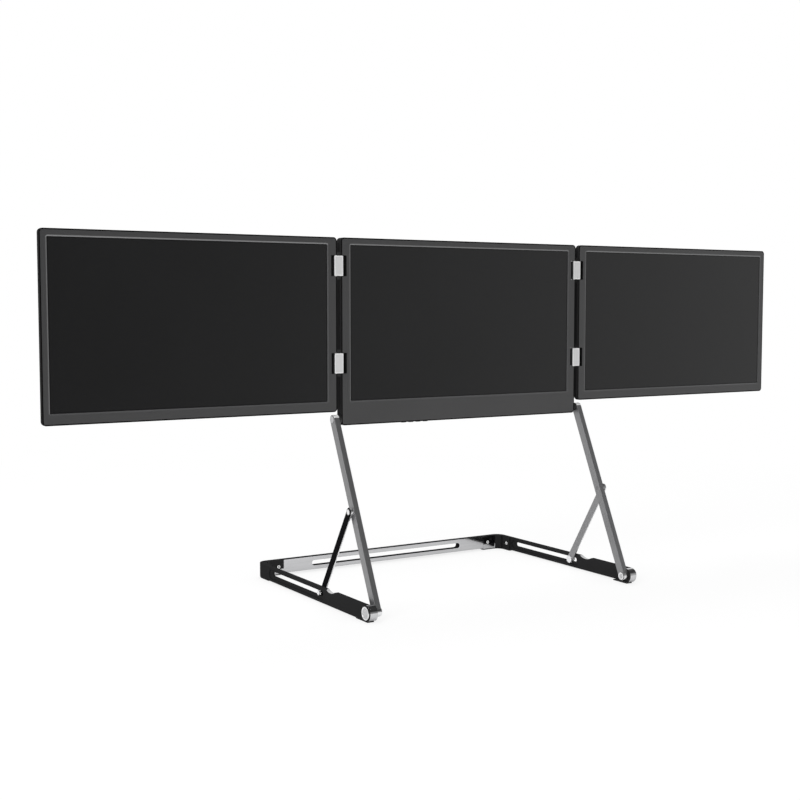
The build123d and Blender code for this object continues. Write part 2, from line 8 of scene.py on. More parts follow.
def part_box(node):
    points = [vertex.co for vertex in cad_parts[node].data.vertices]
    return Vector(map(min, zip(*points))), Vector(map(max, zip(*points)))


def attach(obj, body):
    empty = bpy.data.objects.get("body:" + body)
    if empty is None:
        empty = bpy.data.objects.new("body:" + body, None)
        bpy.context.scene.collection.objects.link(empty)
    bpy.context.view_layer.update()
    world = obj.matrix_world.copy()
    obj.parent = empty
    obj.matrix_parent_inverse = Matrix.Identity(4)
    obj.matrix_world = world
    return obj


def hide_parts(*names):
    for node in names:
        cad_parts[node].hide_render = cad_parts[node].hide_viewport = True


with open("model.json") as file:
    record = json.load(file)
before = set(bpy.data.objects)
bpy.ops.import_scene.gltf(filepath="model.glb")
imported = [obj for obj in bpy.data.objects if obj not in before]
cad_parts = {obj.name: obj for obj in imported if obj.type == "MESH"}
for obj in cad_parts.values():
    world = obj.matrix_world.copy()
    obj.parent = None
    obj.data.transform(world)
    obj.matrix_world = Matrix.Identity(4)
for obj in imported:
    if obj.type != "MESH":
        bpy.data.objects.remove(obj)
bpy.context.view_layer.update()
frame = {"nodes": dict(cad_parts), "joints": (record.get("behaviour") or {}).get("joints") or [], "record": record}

NODES = frame["nodes"]
BODY_OF = {
    node: body for body, nodes in frame["record"]["behaviour"]["bodies"].items() for node in nodes
}
SLOT_OF = {part["node"]: part["material_slot"] for part in frame["record"]["subparts"]}
JOINTS = {joint["name"]: Vector(joint["pos_m"]) for joint in frame["joints"] if "pos_m" in joint}
MM = 0.001

# ---- Softened edges, in metres like all sizes below
LEG_EDGE = 0.3 * MM
RING_EDGE = 0.25 * MM
WASHER_EDGE = 0.3 * MM
HEAD_EDGE = 0.2 * MM
BRACE_BAR_EDGE = 0.15 * MM
BRACE_COVER_EDGE = 0.2 * MM
BASE_EDGE = 0.35 * MM
RUBBER_EDGE = 0.3 * MM
CORNER_SCREW_EDGE = 0.55 * MM
LINK_EDGE = 0.35 * MM
BEZEL_EDGE = 0.8 * MM
PANE_EDGE = 0.2 * MM
KEY_EDGE = 0.25 * MM
STEM_EDGE = 0.15 * MM

# ---- Legs, pins and braces
LEG_POLISH_START = 2.0 * MM
LEG_BORE_DEPTH = 1.0 * MM
LEG_CAP_RADIUS = 8.1 * MM
LEG_CAP_FACE_RADIUS = 6.3 * MM
LEG_PIN_RADIUS = 3.0 * MM
LEG_RING_RADIUS = 5.0 * MM
LEG_RING_DEPTH = 0.9 * MM
SMALL_PIN_RADIUS = 2.0 * MM
PIN_CLEARANCE = 0.05 * MM
BRACE_HEAD_RADIUS = 4.0 * MM
BRACE_HEAD_FACE_RADIUS = 3.4 * MM
BRACE_HEAD_DEPTH = 1.0 * MM
BRACE_WASHER_RADIUS = 4.6 * MM
BRACE_WASHER_DEPTH = 2.5 * MM
TILT_PIN_GRIP = 8.0 * MM
TILT_NECK_DEPTH = 0.4 * MM
TILT_HEAD_RADIUS = 4.4 * MM
TILT_HEAD_DEPTH = 0.5 * MM
BRACE_WIDTH = 10.9 * MM
FOOT_CAP_RADIUS = 5.2 * MM
FOOT_CAP_DEPTH = 1.2 * MM
FOOT_PIN_RADIUS = 1.45 * MM
FOOT_HEAD_RADIUS = 3.3 * MM
FOOT_HEAD_DEPTH = 0.8 * MM

# ---- Base
LEG_TO_ARM = 5.3 * MM
SCOOP_DEPTHS = (0.15 * MM, 3.3 * MM)
BEND_REACH = 11 * MM
POLISH_TOP = 8.6 * MM
CORNER_PLATE = 2.1 * MM
CORNER_SCREW_RADII = (2.4 * MM, 1.1 * MM)
CORNER_SCREW_HEAD = 0.7 * MM
ARM_SCREW_Y = 127.1 * MM
ARM_SCREW_GRIP = 3.7 * MM
BEAM_SCREW_X = 178.36 * MM
BEAM_SCREW_Z = 11.6 * MM
BEAM_SCREW_GRIP = 7.0 * MM
RECESS_RADIUS = 1.0 * MM
RECESS_DEPTH = 0.45 * MM

# ---- Screens and hinges
CASE_SCREW_RADII = (1.9 * MM, 0.9 * MM)
CASE_SCREW_HEAD = 0.8 * MM
LINK_FRONT_BEVEL = 1.3 * MM
LINK_FRONT_DROP = 0.45 * MM
SCREEN_CORNER = 3.6 * MM
WING_BACK_ROUND = 3.0 * MM
HINGE_SIDE_REACH = 1.2 * MM
BEZEL_RIM_REACH = 1.4 * MM
BEZEL_BEVEL_DEPTH = 1.2 * MM
SCREEN_BORDER = 3.3 * MM
PICTURE_MIDDLE = 10 * MM
KEY_HALF_RUN = 2.1 * MM
KEY_RADIUS = 1.4 * MM
KEY_HEIGHT = 2.8 * MM
FLANGE_RADIUS = 2.4 * MM
FLANGE_LEVELS = (2.7 * MM, 3.5 * MM)
STEM_HALF_WIDTH = 1.6 * MM
STEM_HALF_DEPTH = 0.8 * MM

# ---- Stepped faces: each step is the width of an inset and its height outwards
CAP_STEPS = ((1.4 * MM, 0), (0.2 * MM, -0.3 * MM), (0.3 * MM, 0), (0.2 * MM, 0.2 * MM))
HEAD_STEPS = ((0.7 * MM, 0), (0.15 * MM, -0.2 * MM), (0.2 * MM, 0), (0.15 * MM, 0.1 * MM))
LEG_PIN_STEPS = ((0.5 * MM, 0.15 * MM),)
BRACE_PIN_STEPS = ((0.3 * MM, 0), (0.1 * MM, -0.2 * MM))
TILT_PIN_STEPS = ((0.3 * MM, 0), (0.1 * MM, 0.2 * MM))
SCREW_TIP_STEPS = ((0.25 * MM, 0.25 * MM),)
KEY_STEPS = ((0.45 * MM, 0), (0.15 * MM, -0.12 * MM))

# ---- Sides of the round forms
DISC_SIDES = 64
BAR_SIDES = 96
KEY_SIDES = 48
SCREW_HEAD_SIDES = 32
SCREW_SHANK_SIDES = 24
HEXAGON = 6

# ---- Distances below which points count as level or as one
NEAR = 0.1 * MM
MERGE_DISTANCE = 0.002 * MM
TINY = 1e-7

# ---- How far a face has to look along an axis to be picked, as a part of its normal
FACING = 0.9
LEG_SIDE = 0.8
PIN_SIDE = 0.6
ARM_SIDE = 0.6
SCOOP_TOP = 0.6
BRACE_SIDE = 0.5
CORNER_TOP = 0.3
CORNER_FRONT = 0.1
CORNER_FLAT_FRONT = 0.97
LINK_FRONT = 0.25
LINK_FLAT_FRONT = 0.98
CASE_FRONT = 0.5
BEZEL_BEVEL_RANGE = (0.2, 0.97)
BEZEL_TOP_BEVEL = 0.1


# ---- Working with objects and selections
def deselect():
    """Leaves every object unselected, in object mode."""
    if bpy.context.object and bpy.context.object.mode != "OBJECT":
        bpy.ops.object.mode_set(mode="OBJECT")
    bpy.ops.object.select_all(action="DESELECT")


def take(piece):
    """Makes a piece the only selected object, and the active one."""
    deselect()
    piece.select_set(True)
    bpy.context.view_layer.objects.active = piece


def everything(part):
    """The test that every vertex, edge or face passes."""
    return True


def faces(direction):
    """A test for faces that look along a direction, such as -Y."""
    index = "XYZ".index(direction[1])
    sign = 1 if direction[0] == "+" else -1
    return lambda face: face.normal[index] * sign > FACING


def choose(piece, kind, test):
    """Enters edit mode with only those vertices, edges or faces selected that pass a test."""
    take(piece)
    bpy.ops.object.mode_set(mode="EDIT")
    bpy.ops.mesh.select_mode(type=kind)
    bpy.ops.mesh.select_all(action="DESELECT")
    bpy.ops.object.mode_set(mode="OBJECT")
    mesh = piece.data
    parts = {"VERT": mesh.vertices, "EDGE": mesh.edges, "FACE": mesh.polygons}[kind]
    for part in parts:
        part.select = test(part)
    bpy.ops.object.mode_set(mode="EDIT")


def leave(piece):
    """Back to object mode, with the piece still active."""
    bpy.ops.object.mode_set(mode="OBJECT")
    return piece


def rename(piece, name):
    """Gives a piece and its mesh one name."""
    piece.name = name
    piece.data.name = name
    return piece


def settle(piece, name):
    """Names a new primitive and puts its place, turn and size into its mesh."""
    take(rename(piece, name))
    bpy.ops.object.transform_apply(location=True, rotation=True, scale=True)
    return piece


def start_block(name, low, high):
    """A block between two corners."""
    deselect()
    low, high = Vector(low), Vector(high)
    bpy.ops.mesh.primitive_cube_add(size=1, location=(low + high) / 2, scale=high - low)
    return settle(bpy.context.object, name)


TURNS = {"X": (0, pi / 2, 0), "Y": (-pi / 2, 0, 0), "Z": (0, 0, 0)}


def start_disc(name, axis, span, centre, radius, sides=DISC_SIDES):
    """A disc or rod along an axis, between two values on it and about the other two."""
    deselect()
    place = list(centre)
    place.insert("XYZ".index(axis), (span[0] + span[1]) / 2)
    bpy.ops.mesh.primitive_cylinder_add(
        vertices=sides, radius=radius, depth=span[1] - span[0], location=place, rotation=TURNS[axis]
    )
    return settle(bpy.context.object, name)


def start_bar(name, span, start, end, radius):
    """A flat bar with round ends between two (y, z) points: a disc whose far half is pulled out."""
    piece = start_disc(name, "X", span, start, radius, BAR_SIDES)
    run = Vector((0, end[0] - start[0], end[1] - start[1]))
    origin = Vector((0, *start))
    choose(piece, "VERT", lambda vert: (vert.co - origin).dot(run) > TINY)
    bpy.ops.transform.translate(value=run)
    return leave(piece)


def copy_of(node, name):
    """A copy of a CAD piece with its loose triangles merged and its flat faces joined."""
    piece = bpy.data.objects.new(name, NODES[node].data.copy())
    piece.data.name = name
    piece.data.materials.clear()
    bpy.context.scene.collection.objects.link(piece)
    choose(piece, "FACE", everything)
    bpy.ops.mesh.remove_doubles(threshold=MERGE_DISTANCE)
    bpy.ops.mesh.dissolve_limited(angle_limit=radians(0.4))
    return leave(piece)


def join(name, pieces):
    """Several closed forms as one object."""
    deselect()
    for piece in pieces:
        piece.select_set(True)
    bpy.context.view_layer.objects.active = pieces[0]
    bpy.ops.object.join()
    return rename(pieces[0], name)


def apply(piece, kind, **values):
    """Adds a modifier with these settings and applies it."""
    take(piece)
    modifier = piece.modifiers.new(kind.title(), kind)
    for key, value in values.items():
        setattr(modifier, key, value)
    bpy.ops.object.modifier_apply(modifier=modifier.name)
    return piece


def cut(piece, tool):
    """Takes a tool's shape out of a piece."""
    apply(piece, "BOOLEAN", operation="DIFFERENCE", solver="EXACT", object=tool)
    bpy.data.objects.remove(tool)
    return piece


def cut_bore(piece, span, centre, radius):
    """Cuts a round hole along X."""
    return cut(piece, start_disc("bore", "X", span, centre, radius))


def round_edges(piece, width, segments=2, angle=30):
    """Rounds every edge that is sharper than an angle in degrees."""
    return apply(
        piece,
        "BEVEL",
        width=width,
        segments=segments,
        limit_method="ANGLE",
        angle_limit=radians(angle),
        use_clamp_overlap=True,
        miter_outer="MITER_ARC",
    )


def inset(piece, test, steps):
    """Insets the chosen faces in turn: each step is (width, height), with the height outwards."""
    choose(piece, "FACE", test)
    for thickness, depth in steps:
        bpy.ops.mesh.inset(thickness=thickness, depth=depth, use_even_offset=True)
    return leave(piece)


def duplicate(piece, name):
    """A copy of a piece with a mesh of its own."""
    take(piece)
    bpy.ops.object.duplicate()
    return rename(bpy.context.object, name)


def moved_copy(piece, name, offset):
    """A copy of a piece at an offset."""
    twin = duplicate(piece, name)
    choose(twin, "VERT", everything)
    bpy.ops.transform.translate(value=offset)
    return leave(twin)


def mirror_copy(piece, name):
    """The left-hand twin of a right-hand piece."""
    twin = duplicate(piece, name)
    twin.data.transform(Matrix.Scale(-1, 4, Vector((1, 0, 0))))
    choose(twin, "FACE", everything)
    bpy.ops.mesh.flip_normals()
    return leave(twin)


def pair_of(name, pieces):
    """The right-hand forms of a piece and their mirror images, as one object."""
    twins = [mirror_copy(piece, piece.name + "_twin") for piece in pieces]
    return join(name, pieces + twins)


def finish_piece(piece, node, finishes, pick=None):
    """Gives a piece its finishes, face by face, and lets it stand for its CAD node."""
    take(piece)
    bpy.ops.object.shade_smooth_by_angle(angle=radians(35))
    apply(piece, "WEIGHTED_NORMAL", keep_sharp=True, weight=70)
    piece.data.materials.clear()
    for finish in finishes:
        piece.data.materials.append(finish)
    for face in piece.data.polygons:
        face.material_index = pick(face) if pick else 0
    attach(piece, BODY_OF[node])
    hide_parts(node)


def finish_both_sides(piece, node, finishes, pick=None):
    """Finishes a right-hand piece, and its mirror image for the left-hand node."""
    twin = mirror_copy(piece, piece.name.replace("right", "left"))
    finish_piece(piece, "right_" + node, finishes, pick)
    finish_piece(twin, "left_" + node, finishes, pick)


def paint(node, finish):
    """Gives a CAD node a finish."""
    slots = NODES[node].data.materials
    if len(slots) == 0:
        slots.append(finish)
    for index in range(len(slots)):
        slots[index] = finish


def flat(vector):
    """The (y, z) part of a point."""
    return (vector.y, vector.z)


def box_of(node):
    """The low and the high corner of a CAD node."""
    return [Vector(corner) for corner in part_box(node)]


def middle_of(node):
    low, high = box_of(node)
    return (low + high) / 2


def span_of(node, axis):
    """The lowest and highest value of a CAD node on an axis."""
    index = "XYZ".index(axis)
    return [corner[index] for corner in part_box(node)]


# ---- Finishes
class Sheet:
    """A node sheet, with short ways to add and link its nodes."""

    def __init__(self, tree):
        self.nodes = tree.nodes
        self.links = tree.links
        self.coordinates = self.add("ShaderNodeTexCoord")

    def add(self, kind, **values):
        node = self.nodes.new(kind)
        for key, value in values.items():
            if key in node.inputs:
                node.inputs[key].default_value = value
            else:
                setattr(node, key, value)
        return node

    def link(self, start, end):
        self.links.new(start, end)

    def remap(self, value, taken, given):
        """Maps a value from one range to another."""
        node = self.add("ShaderNodeMapRange")
        for name, number in zip(("From Min", "From Max", "To Min", "To Max"), (*taken, *given)):
            node.inputs[name].default_value = number
        self.link(value, node.inputs["Value"])
        return node.outputs["Result"]

    def product(self, first, second):
        node = self.add("ShaderNodeMath", operation="MULTIPLY")
        self.link(first, node.inputs[0])
        self.link(second, node.inputs[1])
        return node.outputs[0]

    def blend(self, share, first, second):
        """A shader that is the first one where the share is 0, and the second one where it is 1."""
        node = self.add("ShaderNodeMixShader")
        for start, end in zip((share, first, second), node.inputs):
            self.link(start, end)
        return node.outputs[0]


class Finish(Sheet):
    """A material and its node sheet."""

    NOISE_RANGE = (0.3, 0.7)

    def __init__(self, name):
        self.material = bpy.data.materials.new(name)
        self.material.use_nodes = True
        super().__init__(self.material.node_tree)
        self.shader = self.nodes["Principled BSDF"]

    def set(self, **values):
        for key, value in values.items():
            self.shader.inputs[key.replace("_", " ")].default_value = value

    def noise(self, scale, detail, stretch=(1, 1, 1)):
        mapping = self.add("ShaderNodeMapping")
        mapping.inputs["Scale"].default_value = stretch
        self.link(self.coordinates.outputs["Object"], mapping.inputs["Vector"])
        noise = self.add("ShaderNodeTexNoise", Scale=scale, Detail=detail)
        self.link(mapping.outputs["Vector"], noise.inputs["Vector"])
        return noise.outputs["Fac"]

    def tint(self, noise, colour, spread):
        """The colour, a little darker or lighter with a noise value."""
        mix = self.add("ShaderNodeMix", data_type="RGBA")
        mix.inputs[6].default_value = (*(channel * (1 - spread) for channel in colour), 1)
        mix.inputs[7].default_value = (*(channel * (1 + spread) for channel in colour), 1)
        self.link(self.remap(noise, self.NOISE_RANGE, (0, 1)), mix.inputs[0])
        self.link(mix.outputs[2], self.shader.inputs["Base Color"])

    def gloss(self, noise, roughness, spread):
        """The roughness, a little lower or higher with a noise value."""
        limits = (roughness * (1 - spread), roughness * (1 + spread))
        self.link(self.remap(noise, self.NOISE_RANGE, limits), self.shader.inputs["Roughness"])

    def bump(self, noise, strength, distance):
        bump = self.add("ShaderNodeBump", Strength=strength, Distance=distance)
        self.link(noise, bump.inputs["Height"])
        self.link(bump.outputs["Normal"], self.shader.inputs["Normal"])


def coated(name, colour, roughness, grain, relief, **settings):
    """A painted, moulded or anodised surface: tone drifts slightly, gloss and relief have a fine grain."""
    finish = Finish(name)
    finish.set(**settings)
    finish.tint(finish.noise(scale=9, detail=4), colour, spread=0.06)
    fine = finish.noise(scale=grain, detail=2)
    finish.gloss(fine, roughness, spread=0.15)
    finish.bump(fine, strength=0.25, distance=relief * MM)
    return finish.material


def brushed(name, colour, roughness, stretch, relief):
    """Brushed or polished metal, with its lines drawn out along the axes that are stretched least."""
    finish = Finish(name)
    finish.set(Metallic=1.0)
    lines = finish.noise(scale=60, detail=4, stretch=stretch)
    finish.tint(lines, colour, spread=0.05)
    finish.gloss(lines, roughness, spread=0.2)
    finish.bump(lines, strength=0.1, distance=relief * MM)
    return finish.material


ALL_WAYS = (1, 1, 1)
ALONG_X = (1, 14, 14)
LONG_ALONG_X = (0.2, 9, 9)

base_black = coated(
    "Black base lacquer", colour=(0.022, 0.022, 0.0225), roughness=0.5, grain=1500, relief=0.01,
    Specular_IOR_Level=0.0,
)
base_mirror = brushed(
    "Polished black chrome", colour=(0.62, 0.62, 0.63), roughness=0.07, stretch=ALL_WAYS, relief=0.001
)
beam_metal = brushed(
    "Polished beam face", colour=(0.53, 0.53, 0.54), roughness=0.06, stretch=LONG_ALONG_X, relief=0.002
)
base_gloss = coated(
    "Black gloss lacquer", colour=(0.004, 0.004, 0.0045), roughness=0.16, grain=1500, relief=0.002,
    Specular_IOR_Level=0.2,
)
foot_rubber = coated("Foot rubber", colour=(0.016, 0.016, 0.016), roughness=0.75, grain=1400, relief=0.04)

cap_steel = brushed(
    "Satin cap steel", colour=(0.56, 0.56, 0.57), roughness=0.28, stretch=ALL_WAYS, relief=0.004
)
bright_steel = coated(
    "Bright satin steel", colour=(0.92, 0.92, 0.92), roughness=0.35, grain=1600, relief=0.004
)
polished_steel = brushed(
    "Polished steel", colour=(0.82, 0.82, 0.83), roughness=0.14, stretch=ALL_WAYS, relief=0.002
)
plain_steel = brushed("Plain steel", colour=(0.5, 0.5, 0.51), roughness=0.35, stretch=ALONG_X, relief=0.01)
bracket_black = coated(
    "Blackened steel", colour=(0.006, 0.006, 0.006), roughness=0.6, grain=1200, relief=0.01,
    Specular_IOR_Level=0.2,
)
washer_black = coated("Black washer", colour=(0.01, 0.01, 0.01), roughness=0.5, grain=1200, relief=0.02)

leg_grey = coated(
    "Grey leg anodising", colour=(0.235, 0.235, 0.24), roughness=0.36, grain=1600, relief=0.012,
    Metallic=0.75,
)
# A light satin grey on the legs' upper round ends: a painted highlight where they catch light from above.
leg_end_painted_highlight = coated("Leg end painted highlight", colour=(0.62, 0.62, 0.62), roughness=0.35, grain=1600, relief=0.004)
brace_silver = coated(
    "Brace anodising", colour=(0.26, 0.26, 0.265), roughness=0.36, grain=1600, relief=0.012,
    Metallic=0.75,
)
brace_black = coated(
    "Black brace lacquer", colour=(0.007, 0.007, 0.0075), roughness=0.5, grain=1500, relief=0.01,
    Specular_IOR_Level=0.0,
)

hinge_satin = coated(
    "Silver hinge satin", colour=(0.66, 0.66, 0.66), roughness=0.4, grain=1600, relief=0.012,
    Metallic=0.3,
)
# A lighter copy of the hinge silver: a painted highlight on the front bevels of the hinge blocks.
hinge_painted_highlight = coated(
    "Silver hinge painted highlight", colour=(0.86, 0.86, 0.86), roughness=0.3, grain=1600, relief=0.006,
    Metallic=0.3,
)
# A dark flank colour: painted shade on the hinge blocks' sides, where they sit in their pockets.
hinge_flank_painted_shade = coated(
    "Hinge flank painted shade", colour=(0.06, 0.06, 0.061), roughness=0.5, grain=1600, relief=0.012
)

case_black = coated(
    "Housing anodising", colour=(0.022, 0.022, 0.0225), roughness=0.55, grain=1800, relief=0.015,
    Specular_IOR_Level=0.0,
)
# A darker copy of the housing black: painted shade along the front rims of the housings and the outer edges of the
# bezels.
rim_painted_shade = coated(
    "Rim painted shade", colour=(0.006, 0.006, 0.006), roughness=0.5, grain=1800, relief=0.015,
    Specular_IOR_Level=0.0,
)
bezel_grey = coated(
    "Bezel grey", colour=(0.035, 0.035, 0.036), roughness=0.42, grain=1800, relief=0.02,
    Specular_IOR_Level=0.8,
)
# Lighter copies of the bezel grey: painted highlights on the inner bevel. The downward-facing top bevel is
# brighter than the sides.
bezel_top_painted_highlight = coated(
    "Bezel bevel", colour=(0.135, 0.135, 0.138), roughness=0.25, grain=1800, relief=0.006,
    Specular_IOR_Level=1.0,
)
bezel_side_painted_highlight = coated(
    "Bezel side bevel", colour=(0.075, 0.075, 0.077), roughness=0.25, grain=1800, relief=0.006,
    Specular_IOR_Level=1.0,
)
screen_glass = coated(
    "Dark screen glass", colour=(0.0075, 0.0075, 0.0078), roughness=0.1, grain=2500, relief=0.001
)
# A black border round the picture: partly the panel's own border, partly painted shade along the bezel's inner
# edge.
screen_border_and_shade = coated(
    "Black screen border", colour=(0.002, 0.002, 0.002), roughness=0.3, grain=2500, relief=0.001,
    Specular_IOR_Level=0.3,
)

backlight_white = coated(
    "Backlight white", colour=(0.8, 0.8, 0.8), roughness=0.5, grain=900, relief=0.01
)
board_green = coated("Solder mask", colour=(0.02, 0.14, 0.05), roughness=0.35, grain=700, relief=0.02)
speaker_black = coated(
    "Speaker black", colour=(0.015, 0.015, 0.015), roughness=0.6, grain=1500, relief=0.02
)
button_black = coated("Button black", colour=(0.02, 0.02, 0.021), roughness=0.4, grain=1500, relief=0.01)

FINISH_OF_SLOT = {
    "base_black": base_black,
    "foot_rubber": foot_rubber,
    "polished_steel": polished_steel,
    "plain_steel": plain_steel,
    "washer_black": washer_black,
    "leg_grey": leg_grey,
    "brace_silver": brace_silver,
    "brace_black": brace_black,
    "hinge_silver": hinge_satin,
    "bezel_grey": bezel_grey,
    "shell_black": case_black,
    "screen_glass": screen_glass,
    "backlight_white": backlight_white,
    "board_green": board_green,
    "speaker_black": speaker_black,
    "button_black": button_black,
}
for node, slot in SLOT_OF.items():
    paint(node, FINISH_OF_SLOT[slot])
for node in ("centre_hinge_brackets", "left_wing_brackets", "right_wing_brackets"):
    paint(node, bracket_black)


# ---- Where the pieces meet
LEG_PIVOT = flat(JOINTS["leg_fold"])
TILT_AXIS = flat(JOINTS["screen_tilt"])
BRACE_PIVOT = flat(JOINTS["right_brace_swing"])
BRACE_FOOT = flat(middle_of("right_brace_foot"))
LEG_OUTER = span_of("right_leg_bar", "X")[1]
ARM_INNER = LEG_OUTER + LEG_TO_ARM
ARM_OUTER = span_of("right_arm", "X")[1]
ARM_MIDDLE = middle_of("right_arm").z
BASE_TOP = span_of("right_arm", "Z")[1]
BEAM_FRONT = span_of("rear_beam", "Y")[0]


# ---- Legs and their pins
def make_legs():
    """Flat anodised bars with broken edges, polished round the lower end, with the upper round end painted a
    lighter satin grey as a highlight.
    """
    span = span_of("right_leg_bar", "X")
    radius = span_of("right_leg_bar", "Z")[1] - TILT_AXIS[1]
    low_end = Vector((0, *LEG_PIVOT))
    high_end = Vector((0, *TILT_AXIS))
    run = (high_end - low_end).normalized()
    leg = start_bar("right_leg", span, LEG_PIVOT, TILT_AXIS, radius)
    choose(leg, "FACE", everything)
    bpy.ops.mesh.bisect(plane_co=low_end + run * LEG_POLISH_START, plane_no=run)
    bpy.ops.mesh.select_all(action="SELECT")
    bpy.ops.mesh.bisect(plane_co=high_end, plane_no=run)
    leave(leg)
    bore_span = (LEG_OUTER - LEG_BORE_DEPTH, LEG_OUTER + LEG_BORE_DEPTH)
    cut_bore(leg, bore_span, TILT_AXIS, SMALL_PIN_RADIUS + PIN_CLEARANCE)
    round_edges(leg, LEG_EDGE, segments=3)

    # Faces past the tilt axis, on the upper round end, get the painted highlight.
    def pick(face):
        if abs(face.normal.x) > LEG_SIDE:
            return 0
        if (face.center - low_end).dot(run) < LEG_POLISH_START:
            return 1
        return 2 if (face.center - high_end).dot(run) > NEAR else 0

    finish_both_sides(leg, "leg_bar", [leg_grey, polished_steel, leg_end_painted_highlight], pick)


def start_cap(name, span, centre, radius, steps, outside="+X"):
    """A round head along X whose outer face is stepped."""
    head = start_disc(name, "X", span, centre, radius)
    inset(head, faces(outside), steps)
    return round_edges(head, HEAD_EDGE)


def start_ring(name, span, centre, radius, bore, edge):
    """A washer along X."""
    ring = start_disc(name, "X", span, centre, radius)
    cut_bore(ring, (span[0] - MM, span[1] + MM), centre, bore)
    return round_edges(ring, edge)


def in_disc(centre, radius):
    """Picks the second finish for the flat faces that lie within a disc round an axis along X."""

    def pick(face):
        reach = (Vector(flat(face.center)) - Vector(centre)).length
        return 1 if abs(face.normal.x) > PIN_SIDE and reach < radius else 0

    return pick


def make_leg_pins():
    """The leg pins, each with a broad stepped cap on the outer side of the arm."""
    cap_end = span_of("leg_pins", "X")[1]
    start = span_of("leg_pin_caps", "X")[1] - LEG_RING_DEPTH
    cap = start_cap("leg_cap", (ARM_OUTER, cap_end), LEG_PIVOT, LEG_CAP_RADIUS, CAP_STEPS)
    pin = start_disc("leg_pin", "X", (start, ARM_OUTER), LEG_PIVOT, LEG_PIN_RADIUS)
    inset(pin, faces("-X"), LEG_PIN_STEPS)
    pins = pair_of("leg_pivot_pins", [cap, pin])
    finish_piece(pins, "leg_pins", [polished_steel, cap_steel], in_disc(LEG_PIVOT, LEG_CAP_FACE_RADIUS))


def make_leg_rings():
    """The rings on the inner ends of the leg pins."""
    end = span_of("leg_pin_caps", "X")[1]
    bore = LEG_PIN_RADIUS + PIN_CLEARANCE
    ring = start_ring("ring", (end - LEG_RING_DEPTH, end), LEG_PIVOT, LEG_RING_RADIUS, bore, RING_EDGE)
    finish_piece(pair_of("leg_pivot_rings", [ring]), "leg_pin_caps", [polished_steel])


def make_brace_pins():
    """The pins that carry the braces on the legs, with a steel face in their black heads."""
    end = span_of("brace_pins", "X")[1]
    seat = end - BRACE_HEAD_DEPTH
    start = span_of("right_leg_bar", "X")[0]
    head = start_cap("brace_head", (seat, end), BRACE_PIVOT, BRACE_HEAD_RADIUS, HEAD_STEPS)
    shank = start_disc("brace_shank", "X", (start, seat), BRACE_PIVOT, SMALL_PIN_RADIUS)
    inset(shank, faces("-X"), BRACE_PIN_STEPS)
    pins = pair_of("brace_pivot_pins", [head, shank])
    pick = in_disc(BRACE_PIVOT, BRACE_HEAD_FACE_RADIUS)
    finish_piece(pins, "brace_pins", [washer_black, polished_steel], pick)


def make_brace_washers():
    """The washers between legs and braces."""
    span = (LEG_OUTER, LEG_OUTER + BRACE_WASHER_DEPTH)
    bore = SMALL_PIN_RADIUS + PIN_CLEARANCE
    washer = start_ring("washer", span, BRACE_PIVOT, BRACE_WASHER_RADIUS, bore, WASHER_EDGE)
    finish_piece(pair_of("brace_pivot_washers", [washer]), "brace_washers", [polished_steel])


def make_tilt_pins():
    """The screen's pins, each with a thin satin head on the outer side of the leg."""
    start = span_of("tilt_brackets", "X")[1] - TILT_PIN_GRIP
    neck_start = LEG_OUTER - TILT_NECK_DEPTH
    head_end = LEG_OUTER + TILT_HEAD_DEPTH
    shank = start_disc("tilt_shank", "X", (start, neck_start), TILT_AXIS, SMALL_PIN_RADIUS)
    inset(shank, faces("-X"), TILT_PIN_STEPS)
    head = start_cap("tilt_head", (LEG_OUTER, head_end), TILT_AXIS, TILT_HEAD_RADIUS, HEAD_STEPS)
    neck = start_disc("tilt_neck", "X", (neck_start, LEG_OUTER), TILT_AXIS, SMALL_PIN_RADIUS)
    finish_piece(pair_of("screen_tilt_pins", [shank, neck, head]), "tilt_pins", [cap_steel])


# ---- Braces
def on_front_edge(face):
    """Picks the second finish for the narrow faces that look forwards."""
    return 1 if abs(face.normal.x) < BRACE_SIDE and face.normal.y < 0 else 0


def make_brace_layer(layer, edge, finishes):
    """One of the two thin plates of a brace, with a hole at each end."""
    span = span_of("right_" + layer, "X")
    plate = start_bar("right_" + layer + "_plate", span, BRACE_PIVOT, BRACE_FOOT, BRACE_WIDTH / 2)
    for centre, radius in ((BRACE_PIVOT, SMALL_PIN_RADIUS), (BRACE_FOOT, FOOT_PIN_RADIUS)):
        cut_bore(plate, (span[0] - MM, span[1] + MM), centre, radius + PIN_CLEARANCE)
    round_edges(plate, edge)
    finish_both_sides(plate, layer, finishes, on_front_edge)


def make_brace_feet():
    """The feet that run in the arms' slots: a broad cap inside, a pin through the slot, a head outside."""
    inner, outer = span_of("right_brace_foot", "X")
    cap_end = inner + FOOT_CAP_DEPTH
    seat = outer - FOOT_HEAD_DEPTH
    cap = start_cap("right_foot", (inner, cap_end), BRACE_FOOT, FOOT_CAP_RADIUS, HEAD_STEPS, "-X")
    shank = start_disc("shank", "X", (cap_end, seat), BRACE_FOOT, FOOT_PIN_RADIUS)
    head = start_cap("head", (seat, outer), BRACE_FOOT, FOOT_HEAD_RADIUS, HEAD_STEPS)
    foot = join("right_slot_foot", [cap, shank, head])
    finish_both_sides(foot, "brace_foot", [polished_steel])


